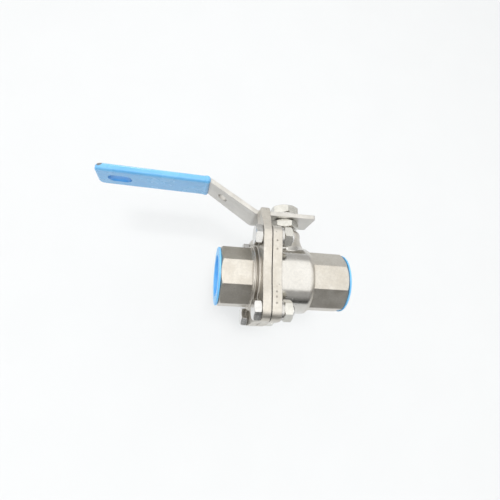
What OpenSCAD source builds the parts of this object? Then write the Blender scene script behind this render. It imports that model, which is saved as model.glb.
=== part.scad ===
// Two-piece stainless ball valve with screwed 1 inch ends and a lever
// Frame: +X along the flow towards the body's port, +Z up the stem, origin at the ball's centre.
// The lever is shown open, lying along the flow on the end cap's side.

/* [Ends] */
// Stem axis to the end cap's port face
cap_face = 49.3; // [44:0.1:54]
// Stem axis to the body's port face
body_face = 43.1; // [40:0.1:50]
// Octagon width across flats
end_af = 41; // [39:0.5:46]
// Port thread crest radius
thread_r = 15.15; // [14.5:0.05:15.6]
// Radius of the port mouth, which the thread's tapered entry and the plug use
mouth_r = 16.6; // [16:0.1:17.2]
// Depth of the port mouth
mouth_depth = 8.5; // [7:0.5:10]
// Length of thread left beyond the mouth
thread_length = 8.5; // [7:0.5:11]
// Flow bore radius
flow_r = 12.5; // [11:0.25:13.5]

/* [Flanges] */
// Half width of the square flanges
flange_half = 33; // [31:0.5:36]
// Half spacing of the flange bolts
bolt_half = 25.4; // [24:0.2:27]
// Outer face of the cap's flange, as a distance from the stem axis
cap_flange_out = 22.8; // [21:0.1:25]
// Joint face of the cap
cap_joint = 17.1; // [15:0.1:18]
// Joint face of the body
body_joint = 16.5; // [14.5:0.1:17]
// Outer face of the body's flange, as a distance from the stem axis
body_flange_out = 10; // [8:0.1:11]
// Corner radius round each bolt
corner_r = 7.6; // [7:0.1:9]

/* [Body] */
// Barrel outer radius
barrel_r = 24.5; // [23.5:0.25:27]
// Ball chamber radius
chamber_r = 20; // [19.5:0.25:20.5]
// End of the barrel
barrel_end = 17; // [14:0.5:18]
// Stem boss radius
boss_r = 12; // [11:0.1:13]
// Top of the stem boss
boss_top = 37; // [36:0.5:40]

/* [Ball and stem] */
// Ball radius
ball_r = 19; // [18.5:0.25:19.5]
// Stem radius, at the crest of its thread
stem_r = 6; // [5.5:0.25:6.5]
// Stem width across its two flats
stem_flats = 9.5; // [8.5:0.25:10.5]
// Top of the stem
stem_top = 58.5; // [56:0.5:62]
// Width across flats of the stem's two nuts
stem_nut_af = 19; // [17:0.5:20]
// Height of the gland nut
gland_nut_h = 6; // [5:0.5:7]
// Height of the nut above the lever
lever_nut_h = 6.5; // [5:0.5:10]

/* [Lever] */
// Underside of the lever at the stem
lever_z = 45.15; // [44:0.05:47]
// Lever thickness
lever_t = 3.1; // [2.5:0.1:4]
// Lever width at the stem
lever_w = 26.8; // [24:0.2:28]
// Lever width under the grip
lever_grip_w = 20.5; // [19:0.5:22]
// Tail end of the lever
tail_x = 20.9; // [18:0.1:22]
// How far the lever rises between its two bends
lever_rise = 23; // [18:0.5:28]
// Run of the sloping part
lever_run = 35; // [30:0.5:40]
// Tip of the grip, as a distance from the stem axis
grip_tip = 141.7; // [130:0.1:165]
// Grip width
grip_w = 25; // [23:0.5:28]
// Grip thickness
grip_t = 5.8; // [5:0.1:7]

/* [Fasteners] */
// Flange bolt radius
bolt_r = 4; // [4:0.5:5]
// Width across flats of the flange bolts and nuts
bolt_af = 13; // [13:1:17]
// Bolt head height
head_h = 5.3; // [5:0.1:6.5]
// Flange nut height
nut_h = 6; // [5:0.1:6.8]

/* [Thread plugs] */
// Plug rim radius
plug_rim_r = 21.2; // [20:0.1:22]
// Plug rim thickness
plug_rim_t = 1.4; // [1:0.1:3]
// Plug sleeve radius
plug_r = 16.4; // [15.8:0.1:17]
// Plug hollow radius
plug_hollow_r = 15; // [14:0.1:15.5]

/* [Shown part] */
// One sub-part, or all of them

/* [Hidden] */

$fn = 96;
soft_fn = 32;
gap = 0.02;          // clearance between pieces that touch
turn_gap = 0.06;     // clearance round the turning stem
over = 1;            // how far a cut runs past a face

steel = [0.80, 0.79, 0.76];
dark_steel = [0.62, 0.61, 0.59];
teflon = [0.93, 0.93, 0.90];
grip_blue = [0.45, 0.62, 0.78];
plug_blue = [0.05, 0.25, 0.70];

end_corner_r = end_af / 2 / cos(22.5);
end_chamfer = 2;         // length and depth of the chamfer at each port face
end_chamfer_in = 2.2;
seat_back = 15.5;        // back face of each seat pocket
seat_pocket = 9.5;       // mouth of each seat pocket
seat_r = 17;
seat_in_r = 12.6;
gasket_in = 20.6;
gasket_out = 23.4;
gasket_groove = 1.5;

collar_z = 19.3;
collar_top = 22;
collar_r = 8.5;
washer_top = 23.5;
packing_z = 26;
packing_r = 8;
packing_pitch = 2.05;
follower_z = 33.2;
follower_top = 37.6;
gland_nut_z = lever_z - gland_nut_h - gap;
lever_top = lever_z + lever_t;
lever_washer_t = 2;
lever_nut_z = lever_top + lever_washer_t + 2 * gap;
tang_w = 7.9;
tang_half = 7;
tang_z = 14.8;

lug_in = -lever_w / 2 - 0.5;    // the lug's side next to the open lever
lug_out = -24.8;                // the lug's outer side at its top
lug_top = 47.4;
lug_r = 3;
lug_edge_r = 2.2;               // rounding across the lug's top
lug_back = 1;                   // how far the lug stands proud of the flange's outer face
lug_toe = [-32.3, 28.6];        // where the lug's edge leaves the flange's round corner

lock_washer_t = 1.9;
nut_x = -body_flange_out + lock_washer_t + 2 * gap;
bolt_tip = nut_x + nut_h + 1.7;
bolt_places = [for (y = [-1, 1], z = [-1, 1]) [y * bolt_half, z * bolt_half]];
spanner_turn = [-12, 28, -12, 25];   // how far each bolt's hexagon ended up turned
nut_turn = [-5, -21, 20, -8];

lever_mid = lever_z + lever_t / 2;
lever_knee = -24.4;      // first bend of the lever's middle line
bend_r = 5.5;
slope = atan2(lever_rise, lever_run);
grip_slope = 1.05;
grip_root = -59.5;
strap_end = -(grip_tip - 2.4);
slot_x = -125;
slot_l = 17;
slot_w = 9;
slot_wall = 0.9;         // grip lining inside the slot
hang_hole_x = -48;
hang_hole_r = 4;

// ---------- general shapes ----------

// turns a shape drawn as [radius, x] round the flow axis
module turned() {
    rotate([0, 90, 0]) rotate_extrude() children();
}

module ring_2d(r_in, r_out, a, b) {
    translate([r_in, a]) square([r_out - r_in, b - a]);
}

module round_x(r, a, b) {
    translate([a, 0, 0]) rotate([0, 90, 0]) cylinder(r = r, h = b - a);
}

// concave corner of radius r where a round barrel meets the flange face at x
module fillet_2d(barrel, x, r) {
    difference() {
        translate([barrel - 1, x - 1]) square([r + 1, r + 1]);
        translate([barrel + r, x + r]) circle(r = r);
    }
}

// half-round ring cast round a hub, its centre at radius r
module bead(r, x, bead_r) {
    translate([r, x]) circle(r = bead_r);
}

// hexagon prism with the turned chamfer of a nut at both ends
module hexagon(af, h) {
    r = af / 2 / cos(30);
    chamfer = r - af / 2 * 0.97;
    steep = 0.6;
    intersection() {
        cylinder(r = r, h = h, $fn = 6);
        rotate_extrude() polygon([
            [0, 0], [r - chamfer, 0], [r + 0.01, chamfer * steep],
            [r + 0.01, h - chamfer * steep], [r - chamfer, h], [0, h]]);
    }
}

// octagonal end with its turned chamfer, pointing along +X
module port_end(root, face) intersection() {
    turned_r = end_corner_r + 0.3;
    translate([root, 0, 0]) rotate([0, 90, 0]) rotate([0, 0, 22.5])
        cylinder(r = end_corner_r, h = face - root, $fn = 8);
    turned() polygon([
        [0, 0], [turned_r, 0], [turned_r, face - end_chamfer],
        [turned_r - end_chamfer_in, face], [0, face]]);
}

module at_bolts() {
    for (i = [0:3]) translate([0, bolt_places[i][0], bolt_places[i][1]]) rotate([0, 90, 0])
        children();
}

// square flange outline with a corner round each bolt and slightly waisted sides
module flange_outline() {
    flat = 2 * (flange_half - corner_r);
    waist_r = 120;
    difference() {
        union() {
            square([flat, 2 * flange_half], center = true);
            square([2 * flange_half, flat], center = true);
            for (y = [-1, 1], z = [-1, 1]) translate([y * flat / 2, z * flat / 2])
                circle(r = corner_r);
        }
        for (a = [0:90:270]) rotate(a) translate([flange_half + waist_r - 1, 0])
            circle(r = waist_r, $fn = 180);
    }
}

module flange(a, b) {
    translate([a, 0, 0]) rotate([90, 0, 90]) linear_extrude(b - a) flange_outline();
}

// the bore, thread and mouth of one port, pointing along +X from the seat's back
module port_cut(face) {
    round_x(flow_r, seat_back - over, face - mouth_depth - thread_length + over);
    round_x(thread_r, face - mouth_depth - thread_length, face - mouth_depth + over);
    round_x(mouth_r, face - mouth_depth, face + over);
}

// ---------- pressure shell ----------

module body_outer() {
    end_round = 4.5;
    flange(-body_joint, -body_flange_out);
    turned() union() {
        ring_2d(0, barrel_r, -body_joint + 1, barrel_end - end_round);
        ring_2d(0, barrel_r - end_round, -body_joint + 1, barrel_end);
        translate([barrel_r - end_round, barrel_end - end_round]) circle(r = end_round);
        fillet_2d(barrel_r, -body_flange_out, 2.2);
    }
    port_end(barrel_end - end_round, body_face);
    rotate_extrude() union() {
        round_top = 3.2;
        root = 14;
        flare = [[16.3, root], [16.3, 18.8], [15.2, 21.2], [14, 24], [12.8, 27], [boss_r, 30]];
        ring_2d(0, boss_r, root, boss_top - round_top);
        ring_2d(0, boss_r - round_top, root, boss_top);
        translate([boss_r - round_top, boss_top - round_top]) circle(r = round_top);
        polygon(concat([[0, root]], flare, [[0, 30]]));
    }
}

module body_casting() color(steel) difference() {
    body_outer();
    round_x(chamber_r, -body_joint - over, seat_pocket);
    round_x(seat_r, 0, seat_back);
    port_cut(body_face);
    turned() ring_2d(gasket_in, gasket_out, -body_joint - over, -body_joint + gasket_groove);
    cylinder(r = collar_r + 0.5, h = washer_top + gap);
    cylinder(r = stem_r + turn_gap, h = boss_top);
    translate([0, 0, packing_z]) cylinder(r = packing_r, h = boss_top);
    at_bolts() translate([0, 0, -20]) cylinder(r = bolt_r + 0.3, h = 14);
}

// outline of the stop lug, rising from the flange's upper near corner
module lug_outline() {
    polygon([
        [lug_in, flange_half - 5], [lug_in, lug_top - lug_r], [lug_in - lug_r, lug_top],
        [lug_out + lug_r, lug_top], [lug_out + 0.25, lug_top - 1.8], lug_toe,
        [-bolt_half, bolt_half]]);
    translate([lug_in - lug_r, lug_top - lug_r]) circle(r = lug_r);
    translate([lug_out + lug_r, lug_top - lug_r]) circle(r = lug_r);
}

module stop_lug() intersection() {
    back = -cap_flange_out - lug_back;
    width = -cap_joint - back;
    translate([back, 0, 0]) rotate([90, 0, 90]) linear_extrude(width) lug_outline();
    rotate([90, 0, 0]) linear_extrude(100, center = true) {
        polygon([
            [-cap_flange_out, bolt_half], [-cap_joint, bolt_half],
            [-cap_joint, lug_top - lug_edge_r], [back, lug_top - lug_edge_r],
            [back, lug_top - 7], [-cap_flange_out, flange_half]]);
        translate([back + lug_edge_r, lug_top - lug_edge_r - 1])
            square([width - 2 * lug_edge_r, lug_edge_r + 1]);
        for (x = [back + lug_edge_r, -cap_joint - lug_edge_r])
            translate([x, lug_top - lug_edge_r]) circle(r = lug_edge_r);
    }
}

module end_cap() color(steel) difference() {
    hub_r = end_corner_r + 0.5;
    step_r = hub_r + 2;
    union() {
        flange(-cap_flange_out, -cap_joint);
        turned() union() {
            ring_2d(0, chamber_r - 0.07, -cap_joint - 1, -seat_pocket);
            ring_2d(0, hub_r, -cap_flange_out - 4.6, -cap_joint - 1);
            bead(hub_r + 0.4, -cap_flange_out - 2.9, 0.65);
            ring_2d(0, step_r, -cap_flange_out - 1.3, -cap_joint - 1);
            bead(step_r, -cap_flange_out - 0.4, 0.9);
        }
        mirror([1, 0, 0]) port_end(cap_flange_out, cap_face);
        stop_lug();
    }
    round_x(seat_r, -seat_back, 0);
    mirror([1, 0, 0]) port_cut(cap_face);
    at_bolts() translate([0, 0, -25]) cylinder(r = bolt_r + 0.3, h = 14);
}

module body_gasket() color(teflon) turned()
    ring_2d(gasket_in + gap, gasket_out - gap, -cap_joint + gap, -body_joint + gasket_groove - gap);

// ---------- seats, ball and stem ----------

module seat_ring() difference() {
    turned() ring_2d(seat_in_r, seat_r - gap, 8, seat_back - gap);
    sphere(r = ball_r + 0.03);
}

module seat_ring_body() color(teflon) seat_ring();
module seat_ring_cap() color(teflon) mirror([1, 0, 0]) seat_ring();

module ball() color(steel) difference() {
    sphere(r = ball_r);
    round_x(flow_r, -ball_r - over, ball_r + over);
    translate([-tang_w / 2 - 0.05, -ball_r, tang_z - 0.2]) cube([tang_w + 0.1, 2 * ball_r, 10]);
}

module stem() color(steel) {
    point = 1.2;
    difference() {
        union() {
            rotate_extrude() polygon([
                [0, collar_z], [collar_r, collar_z], [collar_r, collar_top], [stem_r, collar_top],
                [stem_r, stem_top - point], [stem_r - point, stem_top], [0, stem_top]]);
            intersection() {
                translate([-tang_w / 2, -tang_half, tang_z])
                    cube([tang_w, 2 * tang_half, collar_z + 1 - tang_z]);
                cylinder(r = collar_r, h = collar_top);
            }
        }
        for (s = [-1, 1]) translate([s * (stem_flats / 2 + 5), 0, lever_z + 10 - 0.03])
            cube([10, 20, 20], center = true);
    }
}

module thrust_washer() color(teflon) rotate_extrude()
    ring_2d(stem_r + turn_gap, collar_r, collar_top + gap, washer_top);

module packing_rings() color(teflon) for (i = [0:2]) {
    z = packing_z + 0.05 + i * packing_pitch;
    mid = (stem_r + packing_r) / 2;
    rotate_extrude() polygon([
        [stem_r + turn_gap, z], [mid, z + 1], [packing_r - gap, z],
        [packing_r - gap, z + 2], [mid, z + 3], [stem_r + turn_gap, z + 2]]);
}

module gland_follower() color(dark_steel) rotate_extrude()
    ring_2d(stem_r + turn_gap, packing_r - gap, follower_z, follower_top);

module disc_springs() color(dark_steel) {
    t = 0.5;
    dish = 0.2;
    r_in = stem_r + gap;
    r_out = packing_r - 0.3;
    z = follower_top + gap;
    rotate_extrude() polygon([
        [r_in, z + dish], [r_out, z], [r_out, z + t], [r_in, z + t + dish]]);
    rotate_extrude() polygon([
        [r_in, z + t + dish + gap], [r_out, z + t + 2 * dish + gap],
        [r_out, z + 2 * t + 2 * dish + gap], [r_in, z + 2 * t + dish + gap]]);
}

module stem_nut(z, h) translate([0, 0, z]) difference() {
    hexagon(stem_nut_af, h);
    translate([0, 0, -over]) cylinder(r = stem_r + gap, h = h + 2 * over);
}

module gland_nut() color(steel) rotate([0, 0, -13]) stem_nut(gland_nut_z, gland_nut_h);
module lever_nut() color(steel) rotate([0, 0, -29]) stem_nut(lever_nut_z, lever_nut_h);

module lever_washer() color(dark_steel) {
    split = 1.2;
    difference() {
        translate([0, 0, lever_top + gap]) rotate_extrude()
            ring_2d(stem_r + gap, 10.2, 0, lever_washer_t);
        translate([0, -split / 2, lever_top]) rotate([0, 0, 70]) cube([20, split, 10]);
    }
}

// ---------- lever ----------

function ahead(h) = [cos(h), sin(h)];
function leftward(h) = [-sin(h), cos(h)];

// points of a bend at corner v, each as [x, z, heading]
function bend(v, h0, h1, r, steps = 8) =
    let (s = sign(h1 - h0),
         start = v - r * tan(abs(h1 - h0) / 2) * ahead(h0),
         centre = start + s * r * leftward(h0))
    [for (i = [0:steps]) let (h = h0 + (h1 - h0) * i / steps, p = centre - s * r * leftward(h))
        [p.x, p.y, h]];

function lever_path() = concat(
    [[tail_x, lever_mid, 180]],
    bend([lever_knee, lever_mid], 180, 180 - slope, bend_r),
    bend([lever_knee - lever_run, lever_mid + lever_rise], 180 - slope, 180 - grip_slope, bend_r),
    [[strap_end, lever_mid + lever_rise
        + (lever_knee - lever_run - strap_end) * tan(grip_slope), 180 - grip_slope]]);

function grip_mid_z(x) = lever_mid + lever_rise + (lever_knee - lever_run - x) * tan(grip_slope);

module strap_side(t) {
    path = lever_path();
    edge = function (side) [for (p = path) [p.x, p.y] + side * t / 2 * leftward(p[2])];
    top = edge(-1);
    polygon(concat(edge(1), [for (i = [len(top) - 1:-1:0]) top[i]]));
}

module strap_plan(grow) {
    r = 2;
    half = lever_w / 2 + grow;
    grip_half = lever_grip_w / 2 + grow;
    neck = 11.2 + grow;
    far = strap_end - grow;
    polygon([
        [tail_x - r, -half], [tail_x - r, half], [lever_knee, half], [grip_root + 2, neck],
        [grip_root - 1, grip_half], [far + r, grip_half], [far + r, -grip_half],
        [grip_root - 1, -grip_half], [grip_root + 2, -neck], [lever_knee, -half]]);
    translate([tail_x - r - 1, r - half]) square([r + 1, 2 * (half - r)]);
    translate([far, r - grip_half]) square([r + 1, 2 * (grip_half - r)]);
    for (s = [-1, 1]) {
        translate([tail_x - r, s * (half - r)]) circle(r = r);
        translate([far + r, s * (grip_half - r)]) circle(r = r);
    }
}

module slot_outline(grow) {
    half = (slot_l - slot_w) / 2;
    translate([slot_x, 0]) {
        square([2 * half, slot_w + 2 * grow], center = true);
        for (s = [-1, 1]) translate([s * half, 0]) circle(r = slot_w / 2 + grow);
    }
}

module strap(grow = 0) difference() {
    intersection() {
        rotate([90, 0, 0]) linear_extrude(60, center = true) strap_side(lever_t + 2 * grow);
        linear_extrude(100) strap_plan(grow);
    }
    translate([0, 0, 60]) linear_extrude(30) slot_outline(slot_wall - grow);
}

module lever_bar() color(steel) difference() {
    strap();
    intersection() {
        translate([0, 0, lever_z - over]) cylinder(r = stem_r + gap, h = lever_t + 2 * over);
        cube([stem_flats + 2 * gap, 30, 200], center = true);
    }
    translate([hang_hole_x, 0, lever_mid + (lever_knee - hang_hole_x) * tan(slope)])
        rotate([0, slope, 0]) cylinder(r = hang_hole_r, h = 20, center = true);
}

// a disc with a fully rounded rim, the corner of the dipped grip
module puck(x, y, r, t) {
    edge = t / 2 - 0.5;
    translate([x, y, grip_mid_z(x)]) rotate_extrude($fn = soft_fn) {
        ring_2d(0, r - edge, -t / 2, t / 2);
        for (s = [-1, 1]) translate([r - edge, s * (t / 2 - edge)]) intersection() {
            circle(r = edge, $fn = 24);
            translate([0, -edge]) square(2 * edge);
        }
        ring_2d(0, r, -0.5, 0.5);
    }
}

module grip_slab(a, b, w, t, ra, rb) hull() for (s = [-1, 1]) {
    puck(a - ra, s * (w / 2 - ra), ra, t);
    puck(b + rb, s * (w / 2 - rb), rb, t);
}

module grip_sleeve() color(grip_blue) difference() {
    union() {
        grip_slab(grip_root, -grip_tip, grip_w, grip_t, 3, 5);
        grip_slab(grip_root + 0.4, grip_root - 5.2, grip_w + 1, grip_t + 0.7, 2.8, 2.8);
    }
    strap(gap);
    translate([0, 0, 60]) linear_extrude(30) slot_outline(0);
}

// ---------- flange fasteners ----------

module flange_bolts() color(steel) for (i = [0:3]) {
    point = 0.8;
    translate([0, bolt_places[i][0], bolt_places[i][1]]) rotate([0, 90, 0]) {
        translate([0, 0, -cap_flange_out - head_h - gap]) rotate([0, 0, spanner_turn[i]])
            hexagon(bolt_af, head_h);
        rotate_extrude() polygon([
            [0, -cap_flange_out - 1], [bolt_r, -cap_flange_out - 1], [bolt_r, bolt_tip - point],
            [bolt_r - point, bolt_tip], [0, bolt_tip]]);
    }
}

module flange_lock_washers() color(dark_steel) for (i = [0:3]) {
    split = 0.9;
    translate([-body_flange_out + gap, bolt_places[i][0], bolt_places[i][1]])
        rotate([0, 90, 0]) difference() {
            rotate_extrude() ring_2d(bolt_r + gap, 6.6, 0, lock_washer_t);
            rotate([0, 0, 100 * i]) translate([0, -split / 2, -over]) cube([10, split, 5]);
        }
}

module flange_nuts() color(steel) for (i = [0:3])
    translate([nut_x, bolt_places[i][0], bolt_places[i][1]]) rotate([0, 90, 0])
        rotate([0, 0, nut_turn[i]]) difference() {
            hexagon(bolt_af, nut_h);
            translate([0, 0, -over]) cylinder(r = bolt_r + gap, h = nut_h + 2 * over);
        }

// ---------- thread plugs ----------

// a cup with a wide rim, drawn for the body's port
module thread_plug(face) {
    wall = 1.5;
    round_r = 0.6;
    depth = mouth_depth - 0.3;
    turned() difference() {
        union() {
            ring_2d(0, plug_r, face - depth, face + 1);
            ring_2d(0, plug_rim_r, face + gap, face + plug_rim_t - round_r);
            ring_2d(0, plug_rim_r - round_r, face + gap, face + plug_rim_t);
            translate([plug_rim_r - round_r, face + plug_rim_t - round_r]) circle(r = round_r);
        }
        ring_2d(-1, plug_hollow_r, face - depth + wall, face + plug_rim_t + over);
        translate([-2, face - depth - over]) square([2, depth + plug_rim_t + 2 * over]);
    }
}

module thread_plug_body() color(plug_blue) thread_plug(body_face);
module thread_plug_cap() color(plug_blue) mirror([1, 0, 0]) thread_plug(cap_face);

body_casting();
end_cap();
body_gasket();
seat_ring_cap();
seat_ring_body();
ball();
stem();
thrust_washer();
packing_rings();
gland_follower();
disc_springs();
gland_nut();
lever_bar();
grip_sleeve();
lever_washer();
lever_nut();
flange_bolts();
flange_lock_washers();
flange_nuts();
thread_plug_cap();
thread_plug_body();
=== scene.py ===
"""A two-piece stainless ball valve with a blue-gripped lever, lit on a plain pale ground."""

import math

import bpy
from mathutils import Matrix, Vector


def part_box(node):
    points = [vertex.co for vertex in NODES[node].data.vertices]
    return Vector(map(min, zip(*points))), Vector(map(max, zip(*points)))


MM = 0.001
PICTURE_SIDE = 500

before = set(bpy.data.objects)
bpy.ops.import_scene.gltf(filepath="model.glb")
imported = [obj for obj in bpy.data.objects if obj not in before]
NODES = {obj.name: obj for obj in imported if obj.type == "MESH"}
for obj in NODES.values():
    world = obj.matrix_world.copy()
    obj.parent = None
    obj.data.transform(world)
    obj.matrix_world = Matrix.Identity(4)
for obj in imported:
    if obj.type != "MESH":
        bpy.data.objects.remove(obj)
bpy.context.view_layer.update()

# places on the valve that the materials need, in metres
FLANGE_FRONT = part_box("body_casting")[0].y
BODY_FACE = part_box("body_casting")[1].x
BOLT_OFFSET = 25.4 * MM         # the flange bolts' axes, off the flow axis both ways
BARREL_FROM = -10 * MM          # the barrel's polished stretch along the flow axis
BARREL_TO = 13.5 * MM
BARREL_TOP = 23 * MM
PORT_DEPTH = 17.6 * MM          # how far the port's threads reach in from the body's face
PORT_RADII = (14.95 * MM, 16.775 * MM)
SLOT_X = -125 * MM              # the hanging slot in the lever's grip
SLOT_RADIUS = 4.5 * MM
SLOT_STRAIGHT = 4 * MM          # half the length of its straight part
PUNCH_X = -13.5 * MM            # the row of punch marks on the flange's front edge
PUNCH_HEIGHTS = [height * MM for height in (-10.5, -14.0, -17.5, -21.5, 14.5, 20.5)]


def rgb(r, g, b):
    return (r, g, b, 1.0)


# ---------- node graph helper ----------


class Graph:
    """The node tree of a material or world, built with short calls."""

    def __init__(self, owner, output, coordinates):
        self.owner = owner
        owner.use_nodes = True
        self.tree = owner.node_tree
        self.tree.nodes.clear()
        self.output = self.node("Output" + output)
        self.place = self.node("TexCoord").outputs[coordinates]

    def node(self, kind, inputs=None, **settings):
        made = self.tree.nodes.new("ShaderNode" + kind)
        for key, value in settings.items():
            setattr(made, key, value)
        for key, value in (inputs or {}).items():
            self.feed(made.inputs[key], value)
        return made

    def feed(self, socket, value):
        if isinstance(value, bpy.types.NodeSocket):
            self.tree.links.new(value, socket)
        else:
            socket.default_value = value

    def math(self, operation, a, b=0.0):
        return self.node("Math", {0: a, 1: b}, operation=operation).outputs[0]

    def add(self, a, b):
        return self.math("ADD", a, b)

    def less(self, a, b):
        return self.math("SUBTRACT", a, b)

    def times(self, a, b):
        return self.math("MULTIPLY", a, b)

    def length(self, a, b):
        """How far the point (a, b) lies from the origin of its plane."""
        return self.math("SQRT", self.add(self.times(a, a), self.times(b, b)))

    def noise(self, size_mm, detail=3.0, rough=0.55, distortion=0.0, vector=None):
        made = self.node("TexNoise", {
            "Vector": vector or self.place, "Scale": 1 / (size_mm * MM), "Detail": detail,
            "Roughness": rough, "Distortion": distortion})
        return made.outputs[0]

    def ramp(self, value, low, high, to_low=0.0, to_high=1.0, smooth=True):
        made = self.node("MapRange", {
            0: value, 1: low, 2: high, 3: to_low, 4: to_high},
            interpolation_type="SMOOTHSTEP" if smooth else "LINEAR")
        return made.outputs[0]

    def band(self, value, low, high, soft_low, soft_high):
        """1 between low and high, 0 outside, fading over twice each soft width."""
        return self.times(self.ramp(value, low - soft_low, low + soft_low),
                          self.ramp(value, high - soft_high, high + soft_high, 1.0, 0.0))

    def mix(self, factor, a, b):
        made = self.node("Mix", data_type="RGBA")
        self.feed(made.inputs[0], factor)
        self.feed(made.inputs[6], a)
        self.feed(made.inputs[7], b)
        return made.outputs[2]

    def touch(self, base, mask, amount, color):
        """The base colour with `amount` of another laid over it where the mask is 1."""
        return self.mix(self.times(mask, amount), base, color)

    def stretched(self, x, y, z):
        return self.node("Mapping", {"Vector": self.place, "Scale": (x, y, z)}).outputs[0]

    def xyz(self):
        parts = self.node("SeparateXYZ", {0: self.place})
        return parts.outputs[0], parts.outputs[1], parts.outputs[2]

    def near(self, point, radius, soft):
        """1 inside a ball round a point in metres, 0 outside, soft at its edge."""
        gap = self.node("VectorMath", {0: self.place, 1: point}, operation="DISTANCE").outputs[1]
        return self.ramp(gap, radius - soft, radius + soft, 1.0, 0.0)

    def edges(self, radius):
        """1 on sharp edges, 0 on open faces."""
        soft = self.node("Bevel", {"Radius": radius}, samples=4).outputs[0]
        plain = self.node("NewGeometry").outputs["Normal"]
        dot = self.node("VectorMath", {0: soft, 1: plain}, operation="DOT_PRODUCT").outputs[1]
        return self.ramp(self.less(1.0, dot), 0.03, 0.35)

    def hidden(self, reach, low=0.25, high=0.8):
        """1 deep in crevices and slots, 0 on open faces; the materials darken with it to paint
        shade.
        """
        open_sky = self.node("AmbientOcclusion", {"Distance": reach}, samples=4).outputs["AO"]
        return self.ramp(open_sky, low, high, 1.0, 0.0)

    def thread(self, along, a, b, pitch):
        """Helical ridge height round an axis: `along` it, a and b across it, in metres."""
        turn = self.math("DIVIDE", self.math("ARCTAN2", a, b), 2 * math.pi)
        phase = self.add(self.math("DIVIDE", along, pitch), turn)
        return self.math("PINGPONG", phase, 0.5)

    def surface(self, color, rough, height, depth, bevel, **sockets):
        """Ends a material: one shader with bump `depth` and edges rounded by `bevel`."""
        inputs = {"Base Color": color, "Roughness": rough}
        inputs.update({key.replace("_", " "): value for key, value in sockets.items()})
        shader = self.node("BsdfPrincipled", inputs)
        rounded = self.node("Bevel", {"Radius": bevel}, samples=4).outputs[0]
        bump = self.node("Bump", {
            "Height": height, "Distance": depth, "Strength": 1.0, "Normal": rounded})
        self.feed(shader.inputs["Normal"], bump.outputs[0])
        self.feed(self.output.inputs[0], shader.outputs[0])
        return self.owner


def material_graph(name):
    return Graph(bpy.data.materials.new(name), "Material", "Object")


# ---------- materials ----------


def cast_steel():
    """Bead-blasted stainless casting, with a turned hub and bright handled edges."""
    g = material_graph("cast_stainless")
    x, y, z = g.xyz()
    fine = g.noise(0.35, 2.0, 0.6)
    pebble = g.noise(1.3, 3.0, 0.6)
    cloud = g.noise(9.0, 4.0, 0.6)
    stain = g.ramp(g.noise(16.0, 5.0, 0.65, 0.6), 0.52, 0.74)
    edge = g.edges(0.7 * MM)
    cells = g.node("TexVoronoi", {"Vector": g.place, "Scale": 1 / (4.2 * MM)}).outputs[0]
    pit = g.times(g.ramp(cells, 0.05, 0.11, 1.0, 0.0), g.ramp(cloud, 0.5, 0.62))
    base = g.mix(g.ramp(cloud, 0.3, 0.7), rgb(0.565, 0.53, 0.47), rgb(0.66, 0.63, 0.575))
    base = g.mix(g.ramp(pebble, 0.25, 0.75, 0.0, 0.35), base, rgb(0.42, 0.40, 0.37))
    base = g.touch(base, stain, 0.35, rgb(0.47, 0.42, 0.35))
    base = g.touch(base, pit, 0.75, rgb(0.07, 0.06, 0.05))
    base = g.touch(base, edge, 0.45, rgb(0.80, 0.79, 0.76))
    # darker brown deep in crevices and joints: partly grime, partly painted shade
    base = g.touch(base, g.hidden(3.0 * MM), 0.5, rgb(0.22, 0.17, 0.12))
    rough = g.ramp(g.add(g.times(cloud, 0.5), g.times(pebble, 0.5)), 0.3, 0.7, 0.31, 0.42)
    rough = g.less(rough, g.times(edge, 0.12))
    # the barrel is smoother and whiter than the rest
    barrel = g.times(g.band(x, BARREL_FROM, BARREL_TO, 1 * MM, 1.5 * MM),
                     g.ramp(z, BARREL_TOP - 2 * MM, BARREL_TOP + 2 * MM, 1.0, 0.0))
    rough = g.less(rough, g.times(barrel, 0.21))
    base = g.touch(base, barrel, 0.4, rgb(0.74, 0.745, 0.745))
    grain = g.add(g.times(fine, 0.16), g.times(pebble, 0.34))
    height = g.times(grain, g.ramp(barrel, 0.0, 1.0, 1.0, 0.4))
    height = g.less(height, g.times(pit, 1.1))
    # round punch marks along the edge of the body's flange
    for z_mark in PUNCH_HEIGHTS:
        mark = g.near((PUNCH_X, FLANGE_FRONT, z_mark), 0.55 * MM, 0.25 * MM)
        height = g.less(height, g.times(mark, 1.6))
        base = g.touch(base, mark, 0.6, rgb(0.25, 0.23, 0.20))
    # the port threads, cut into the walls between the minor and major radius
    wall = g.band(g.length(y, z), *PORT_RADII, 0.05 * MM, 0.025 * MM)
    deep = BODY_FACE - PORT_DEPTH
    inside = g.times(wall, g.ramp(g.math("ABSOLUTE", x), deep, deep + 0.5 * MM))
    thread = g.times(g.thread(x, y, z, 2.31 * MM), g.times(inside, 4.0))
    height = g.add(height, thread)
    return g.surface(base, rough, height, 0.16 * MM, 0.9 * MM, Metallic=1.0)


def bright_steel(name, low, high, rough_low, rough_high, thread=None):
    """Machined stainless: clouded, with small knocks, scuffs and bright edges."""
    g = material_graph(name)
    cloud = g.noise(5.0, 4.0, 0.6)
    fine = g.noise(0.5, 2.0, 0.6)
    scuff = g.ramp(g.noise(1.1, 4.0, 0.7, 0.8, g.stretched(1.0, 0.35, 1.6)), 0.56, 0.72)
    base = g.mix(g.ramp(cloud, 0.3, 0.7), rgb(*low), rgb(*high))
    base = g.touch(base, scuff, 0.14, rgb(0.36, 0.34, 0.31))
    base = g.touch(base, g.edges(0.45 * MM), 0.4, rgb(0.86, 0.85, 0.83))
    rough = g.ramp(cloud, 0.3, 0.7, rough_low, rough_high)
    rough = g.add(rough, g.times(scuff, 0.12))
    height = g.less(g.times(fine, 0.3), g.times(scuff, 0.35))
    if thread:
        height = g.add(height, thread(g, *g.xyz()))
    return g.surface(base, rough, height, 0.03 * MM, 0.3 * MM, Metallic=1.0)


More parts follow.
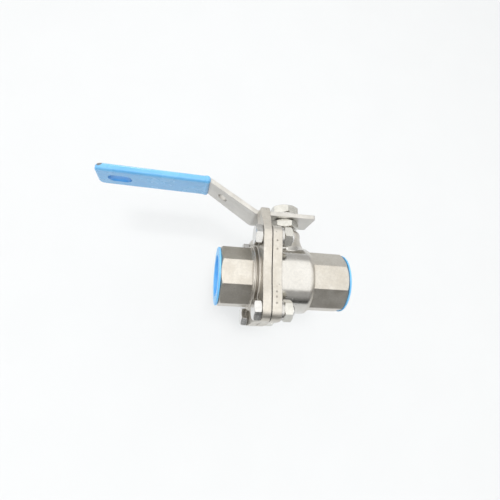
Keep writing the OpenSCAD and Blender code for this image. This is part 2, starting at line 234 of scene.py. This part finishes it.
def flange_bolt_thread(g, x, y, z):
    """Thread on the four bolts, from the flanges' joint to their tips."""
    a = g.less(g.math("ABSOLUTE", y), BOLT_OFFSET)
    b = g.less(g.math("ABSOLUTE", z), BOLT_OFFSET)
    shown = g.ramp(x, -16 * MM, -15 * MM)
    return g.times(g.thread(x, a, b, 1.25 * MM), g.times(shown, 11.0))


def stem_thread(g, x, y, z):
    """Thread on the stem above its boss."""
    shown = g.ramp(z, 37.5 * MM, 38 * MM)
    return g.times(g.thread(z, x, y, 1.75 * MM), g.times(shown, 14.0))


def lever_steel():
    """Rolled and tumbled strip, with long fine scratches and a blanked, brighter edge."""
    g = material_graph("lever_strip")
    cloud = g.noise(11.0, 4.0, 0.6)
    grain = g.noise(0.6, 4.0, 0.65)
    scratch = g.ramp(g.noise(0.7, 3.0, 0.6, 0.2, g.stretched(0.12, 1.0, 0.12)), 0.55, 0.75)
    base = g.mix(g.ramp(cloud, 0.3, 0.7), rgb(0.53, 0.515, 0.485), rgb(0.66, 0.645, 0.615))
    base = g.mix(g.ramp(grain, 0.35, 0.7, 0.0, 0.35), base, rgb(0.40, 0.385, 0.36))
    base = g.touch(base, scratch, 0.3, rgb(0.74, 0.73, 0.71))
    base = g.touch(base, g.edges(0.5 * MM), 0.5, rgb(0.84, 0.83, 0.80))
    rough = g.ramp(cloud, 0.3, 0.7, 0.30, 0.42)
    height = g.less(g.times(grain, 0.5), g.times(scratch, 0.4))
    return g.surface(base, rough, height, 0.08 * MM, 0.4 * MM, Metallic=1.0)


def worn_vinyl(g, skin):
    """1 where the grip's vinyl has rubbed through: two spots at its tip, one at its side."""
    tip = g.near((-138.2 * MM, -12 * MM, 73.2 * MM), 2.1 * MM, 0.35 * MM)
    corner = g.near((-141.2 * MM, -11.5 * MM, 69.0 * MM), 1.1 * MM, 0.3 * MM)
    side = g.near((-120 * MM, 12.4 * MM, 67.6 * MM), 0.9 * MM, 0.3 * MM)
    worn = g.math("MAXIMUM", g.math("MAXIMUM", tip, corner), side)
    return g.times(worn, g.ramp(skin, 0.3, 0.42))


def slot_wall_shade(g):
    """1 on the walls of the grip's hanging slot, where shade is painted."""
    x, y, _ = g.xyz()
    past = g.less(g.math("ABSOLUTE", g.less(x, SLOT_X)), SLOT_STRAIGHT)
    reach = g.length(g.math("MAXIMUM", past, 0.0), y)
    return g.ramp(reach, SLOT_RADIUS + 0.05 * MM, SLOT_RADIUS + 0.4 * MM, 1.0, 0.0)


def grip_vinyl():
    """Dipped vinyl: glossy, slightly uneven, scuffed grey where it has rubbed."""
    g = material_graph("dipped_vinyl")
    wave = g.noise(7.0, 2.0, 0.5)
    skin = g.noise(0.9, 3.0, 0.6)
    cloud = g.noise(14.0, 3.0, 0.6)
    grime = g.ramp(g.noise(2.6, 5.0, 0.7, 0.7), 0.60, 0.74)
    scratch = g.ramp(g.noise(0.8, 4.0, 0.7, 0.5, g.stretched(0.2, 1.0, 1.0)), 0.62, 0.74)
    worn = worn_vinyl(g, skin)
    base = g.mix(g.ramp(cloud, 0.3, 0.7), rgb(0.13, 0.46, 0.86), rgb(0.17, 0.52, 0.90))
    base = g.touch(base, grime, 0.28, rgb(0.10, 0.17, 0.25))
    # painted shade: deep blue darkening where the grip is hidden, in its slot and recesses
    base = g.touch(base, g.hidden(9.0 * MM, 0.2, 0.9), 0.8, rgb(0.012, 0.13, 0.48))
    # painted shade: the slot's walls are darkened to a deeper blue
    base = g.touch(base, slot_wall_shade(g), 0.5, rgb(0.03, 0.22, 0.60))
    base = g.mix(worn, base, rgb(0.17, 0.165, 0.16))
    base = g.touch(base, scratch, 0.25, rgb(0.25, 0.45, 0.68))
    rough = g.add(g.ramp(cloud, 0.3, 0.7, 0.20, 0.30), g.times(scratch, 0.18))
    rough = g.add(rough, g.times(worn, 0.3))
    height = g.add(g.times(wave, 1.2), g.times(skin, 0.12))
    height = g.less(height, g.times(worn, 0.5))
    return g.surface(base, rough, height, 0.25 * MM, 0.5 * MM, Coat_Weight=0.6,
                     Coat_Roughness=0.10, Specular_IOR_Level=0.6)


def plug_plastic():
    """Moulded polyethylene, waxy and slightly see-through at its thin rim."""
    g = material_graph("plug_polyethylene")
    _, y, z = g.xyz()
    cloud = g.noise(8.0, 3.0, 0.55)
    skin = g.noise(0.7, 3.0, 0.6)
    rub = g.ramp(g.noise(1.8, 5.0, 0.7, 0.6), 0.6, 0.74)
    base = g.mix(g.ramp(cloud, 0.3, 0.7), rgb(0.16, 0.53, 0.96), rgb(0.23, 0.60, 0.98))
    base = g.touch(base, rub, 0.25, rgb(0.18, 0.42, 0.80))
    rings = g.math("PINGPONG", g.math("DIVIDE", g.length(y, z), 0.9 * MM), 0.5)
    rough = g.add(g.ramp(cloud, 0.3, 0.7, 0.32, 0.44), g.times(rub, 0.15))
    height = g.add(g.times(skin, 0.3), g.times(rings, 0.25))
    return g.surface(base, rough, height, 0.08 * MM, 0.4 * MM, Subsurface_Weight=0.12,
                     Subsurface_Radius=(0.001, 0.002, 0.004), Subsurface_Scale=0.5)


def teflon():
    """Turned PTFE: soft white, with faint tool rings and handling marks."""
    g = material_graph("turned_ptfe")
    x, _, _ = g.xyz()
    cloud = g.noise(5.0, 3.0, 0.6)
    mark = g.ramp(g.noise(1.4, 5.0, 0.7, 0.5), 0.58, 0.74)
    base = g.mix(g.ramp(cloud, 0.3, 0.7), rgb(0.76, 0.76, 0.73), rgb(0.86, 0.86, 0.84))
    base = g.touch(base, mark, 0.3, rgb(0.58, 0.57, 0.54))
    rings = g.math("PINGPONG", g.math("DIVIDE", x, 0.35 * MM), 0.5)
    height = g.add(g.times(g.noise(0.6), 0.4), g.times(rings, 0.3))
    rough = g.ramp(cloud, 0.3, 0.7, 0.42, 0.55)
    return g.surface(base, rough, height, 0.06 * MM, 0.2 * MM)


def dress():
    """Gives every carried-over piece its material."""
    casting = cast_steel()
    nut = bright_steel("nut_stainless", (0.58, 0.57, 0.53), (0.68, 0.67, 0.63), 0.16, 0.28)
    bolt = bright_steel("bolt_stainless", (0.62, 0.615, 0.60), (0.76, 0.755, 0.74), 0.14, 0.26,
                        flange_bolt_thread)
    stem = bright_steel("stem_stainless", (0.58, 0.57, 0.55), (0.70, 0.69, 0.67), 0.18, 0.30,
                        stem_thread)
    spring = bright_steel("spring_stainless", (0.50, 0.49, 0.47), (0.66, 0.65, 0.63), 0.20, 0.32)
    ball = bright_steel("ball_stainless", (0.72, 0.715, 0.70), (0.80, 0.795, 0.78), 0.05, 0.10)
    lever, grip, plug, ptfe = lever_steel(), grip_vinyl(), plug_plastic(), teflon()
    looks = {
        casting: ["body_casting", "end_cap"],
        nut: ["gland_nut", "lever_nut", "flange_nuts"],
        bolt: ["flange_bolts"],
        stem: ["stem", "gland_follower"],
        spring: ["flange_lock_washers", "lever_washer", "disc_springs"],
        ball: ["ball"],
        lever: ["lever_bar"],
        grip: ["grip_sleeve"],
        plug: ["thread_plug_cap", "thread_plug_body"],
        ptfe: ["body_gasket", "seat_ring_cap", "seat_ring_body", "thrust_washer",
               "packing_rings"],
    }
    for material, names in looks.items():
        for name in names:
            for slot in NODES[name].material_slots:
                slot.material = material


# ---------- stage, light and camera ----------


def ground():
    """The pale ground that the valve lies on its back over, clear of the closed lever's reach."""
    half = 3.0
    back = 0.165
    mesh = bpy.data.meshes.new("ground")
    mesh.from_pydata([(-half, back, -half), (half, back, -half), (half, back, half),
                      (-half, back, half)], [], [(0, 1, 2, 3)])
    obj = bpy.data.objects.new("ground", mesh)
    bpy.context.scene.collection.objects.link(obj)
    g = material_graph("ground_paper")
    tone = g.mix(g.noise(60.0), rgb(0.60, 0.613, 0.628), rgb(0.62, 0.633, 0.648))
    paper = g.node("BsdfPrincipled", {
        "Base Color": tone, "Roughness": 0.9, "Emission Color": rgb(1.0, 1.0, 1.0),
        "Emission Strength": 0.05})
    # it is clear from behind, so that views from the back aren't blocked
    clear = g.node("BsdfTransparent")
    behind = g.node("NewGeometry").outputs["Backfacing"]
    both = g.node("MixShader", {0: behind, 1: paper.outputs[0], 2: clear.outputs[0]})
    g.feed(g.output.inputs[0], both.outputs[0])
    mesh.materials.append(g.owner)
    return obj


def studio():
    """A bright sweep from in front to overhead and a dark side below, as one soft room."""
    # angle round the flow axis in degrees (0 in front, 90 overhead, -90 below) and brightness
    stops = [(-178, 0.62), (-128, 0.30), (-108, 0.08), (-84, 0.08), (-75, 0.26), (-62, 0.46),
             (-47, 0.46), (-39, 1.38), (10, 1.44), (56, 1.40), (71, 0.60), (115, 0.47), (178, 0.58)]
    world = bpy.data.worlds.new("studio")
    bpy.context.scene.world = world
    g = Graph(world, "World", "Generated")
    x, y, z = g.xyz()
    angle = g.math("ARCTAN2", z, g.times(y, -1.0))
    sweep = g.node("ValToRGB", {0: g.ramp(angle, -math.pi, math.pi, smooth=False)})
    sweep.color_ramp.interpolation = "EASE"
    elements = sweep.color_ramp.elements
    elements.remove(elements[1])
    for n, (degrees, level) in enumerate(stops):
        place = (degrees + 180) / 360
        stop = elements[0] if n == 0 else elements.new(place)
        stop.position = place
        stop.color = rgb(level, level * 0.995, level * 0.975)
    # the room is darker towards the body's port
    room = g.node("Background", {0: sweep.outputs[0], 1: g.ramp(x, 0.35, 0.95, 1.0, 0.85)})
    # straight to the camera it is plain pale paper, as the ground is
    paper = g.node("Background", {0: rgb(0.955, 0.965, 0.975)})
    seen = g.node("LightPath").outputs["Is Camera Ray"]
    both = g.node("MixShader", {0: seen, 1: room.outputs[0], 2: paper.outputs[0]})
    g.feed(g.output.inputs[0], both.outputs[0])


def area_light(name, place, aim, size, watts, color, only=None):
    """A soft panel; `only` is the one object it lights, though everything still shades it."""
    data = bpy.data.lights.new(name, "AREA")
    data.shape = "RECTANGLE"
    data.size, data.size_y = size
    data.energy = watts
    data.color = color
    obj = bpy.data.objects.new(name, data)
    obj.location = place
    obj.rotation_euler = (Vector(aim) - Vector(place)).to_track_quat("-Z", "Y").to_euler()
    bpy.context.scene.collection.objects.link(obj)
    if only is not None:
        lit = bpy.data.collections.new(name + "_lit")
        lit.objects.link(only)
        obj.light_linking.receiver_collection = lit


def lights(floor, grip):
    """Soft panels in front and overhead, one for the ground's shadows, one for the grip's gloss."""
    centre = (-0.04, 0.0, 0.01)
    area_light("sweep", (-0.16, -1.25, -0.09), (-0.04, 0.16, 0.0), (0.2, 0.2), 5.0,
               (1.0, 0.98, 0.955), floor)
    area_light("key", (-0.14, -1.25, -0.12), centre, (0.34, 0.34), 1.5, (1.0, 0.99, 0.97))
    area_light("top", (-0.1, -0.35, 0.9), centre, (0.5, 0.3), 0.3, (0.95, 0.98, 1.0))
    area_light("strip", (-0.2, -0.2, 0.8), (-0.12, 0.0, 0.07), (0.1, 0.1), 0.5,
               (1.0, 1.0, 1.0), grip)


def camera():
    """In front of the valve and a little below its lever, turned slightly."""
    turn, rise, roll = math.radians(10.255), math.radians(15.013), math.radians(1.613)
    aim = Vector((-26.236, 0, 21.249)) * MM
    reach = 281.09 * MM
    focal_px = 375.0
    back = Vector((-math.sin(turn) * math.cos(rise), -math.cos(turn) * math.cos(rise),
                   -math.sin(rise)))
    level = (-back).cross(Vector((0, 0, 1))).normalized()
    upright = level.cross(-back)
    right = math.cos(roll) * level + math.sin(roll) * upright
    up = -math.sin(roll) * level + math.cos(roll) * upright
    data = bpy.data.cameras.new("camera")
    data.sensor_width = 36.0
    data.lens = focal_px / PICTURE_SIDE * data.sensor_width
    data.clip_start, data.clip_end = 0.005, 50.0
    obj = bpy.data.objects.new("camera", data)
    axes = Matrix((right, up, back)).transposed().to_4x4()
    obj.matrix_world = Matrix.Translation(aim + back * reach) @ axes
    bpy.context.scene.collection.objects.link(obj)
    bpy.context.scene.camera = obj


def exposure():
    view = bpy.context.scene.view_settings
    view.view_transform = "Standard"
    view.look = "None"
    view.exposure = 0.0


dress()
floor = ground()
studio()
lights(floor, NODES["grip_sleeve"])
camera()
exposure()
